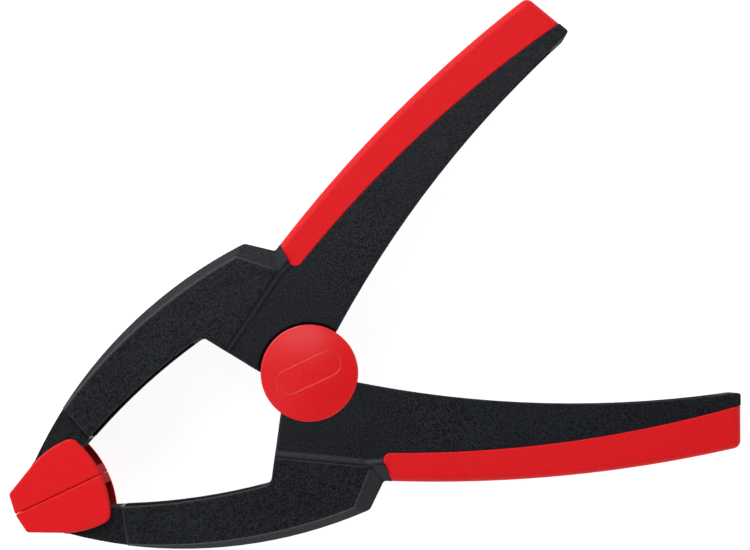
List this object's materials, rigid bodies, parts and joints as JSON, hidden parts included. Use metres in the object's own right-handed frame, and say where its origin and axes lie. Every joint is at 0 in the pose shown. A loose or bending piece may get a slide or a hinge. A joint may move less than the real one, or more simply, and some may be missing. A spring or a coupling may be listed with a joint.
{
  "type": "spring clamp",
  "caption": "Plastic spring clamp with two crossed arms, soft grips, swivelling jaw pads and a torsion spring that holds the jaws shut.",
  "frame": {"origin": "bottom centre of the whole clamp, lying on its side with the jaws shut", "axes": "+Z along the pivot pin, +X from the jaws to the handles, +Y towards the arm that opens; the jaws meet on Y = 0"},
  "size_m": [0.1413, 0.0992, 0.0216],
  "materials": {
    "arm_plastic": "fine spark-eroded grain, black glass-filled nylon",
    "grip_soft": "matt soft-touch red, moulded over the handle",
    "pad_plastic": "fine matt red",
    "cap_plastic": "satin red",
    "pin_steel": "turned, zinc plated",
    "spring_steel": "drawn spring wire",
    "retainer_steel": "blued spring steel",
    "sleeve_plastic": "natural acetal"
  },
  "bodies": {
    "lower_lever": {"lower_arm": "arm_plastic", "lower_grip": "grip_soft", "pivot_pin": "pin_steel", "spring_sleeve": "sleeve_plastic", "torsion_spring": "spring_steel", "top_retainer": "retainer_steel", "bottom_retainer": "retainer_steel", "top_cap": "cap_plastic", "bottom_cap": "cap_plastic"},
    "upper_lever": {"upper_arm": "arm_plastic", "upper_grip": "grip_soft"},
    "upper_jaw_pad": {"upper_pad": "pad_plastic"},
    "lower_jaw_pad": {"lower_pad": "pad_plastic"}
  },
  "joints": [
    {"name": "jaw_hinge", "type": "hinge", "parent": "lower_lever", "child": "upper_lever", "pos_m": [-0.00547, 0.0004, 0.0108], "axis": [0, 0, -1], "range_deg": [0, 45], "stiffness_Nm_per_rad": 1.64, "springref_deg": -69.9, "deforming": ["torsion_spring"]},
    {"name": "upper_pad_swivel", "type": "hinge", "parent": "upper_lever", "child": "upper_jaw_pad", "pos_m": [-0.06248, 0.0049, 0.0108], "axis": [0, 0, -1], "range_deg": [-22.5, 0]},
    {"name": "lower_pad_swivel", "type": "hinge", "parent": "lower_lever", "child": "lower_jaw_pad", "pos_m": [-0.06248, -0.0049, 0.0108], "axis": [0, 0, -1], "range_deg": [0, 22.5]}
  ],
  "couplings": [
    {"joint": "upper_pad_swivel", "follows": "jaw_hinge", "ratio": -0.5},
    {"joint": "lower_pad_swivel", "follows": "jaw_hinge", "ratio": 0.5}
  ]
}
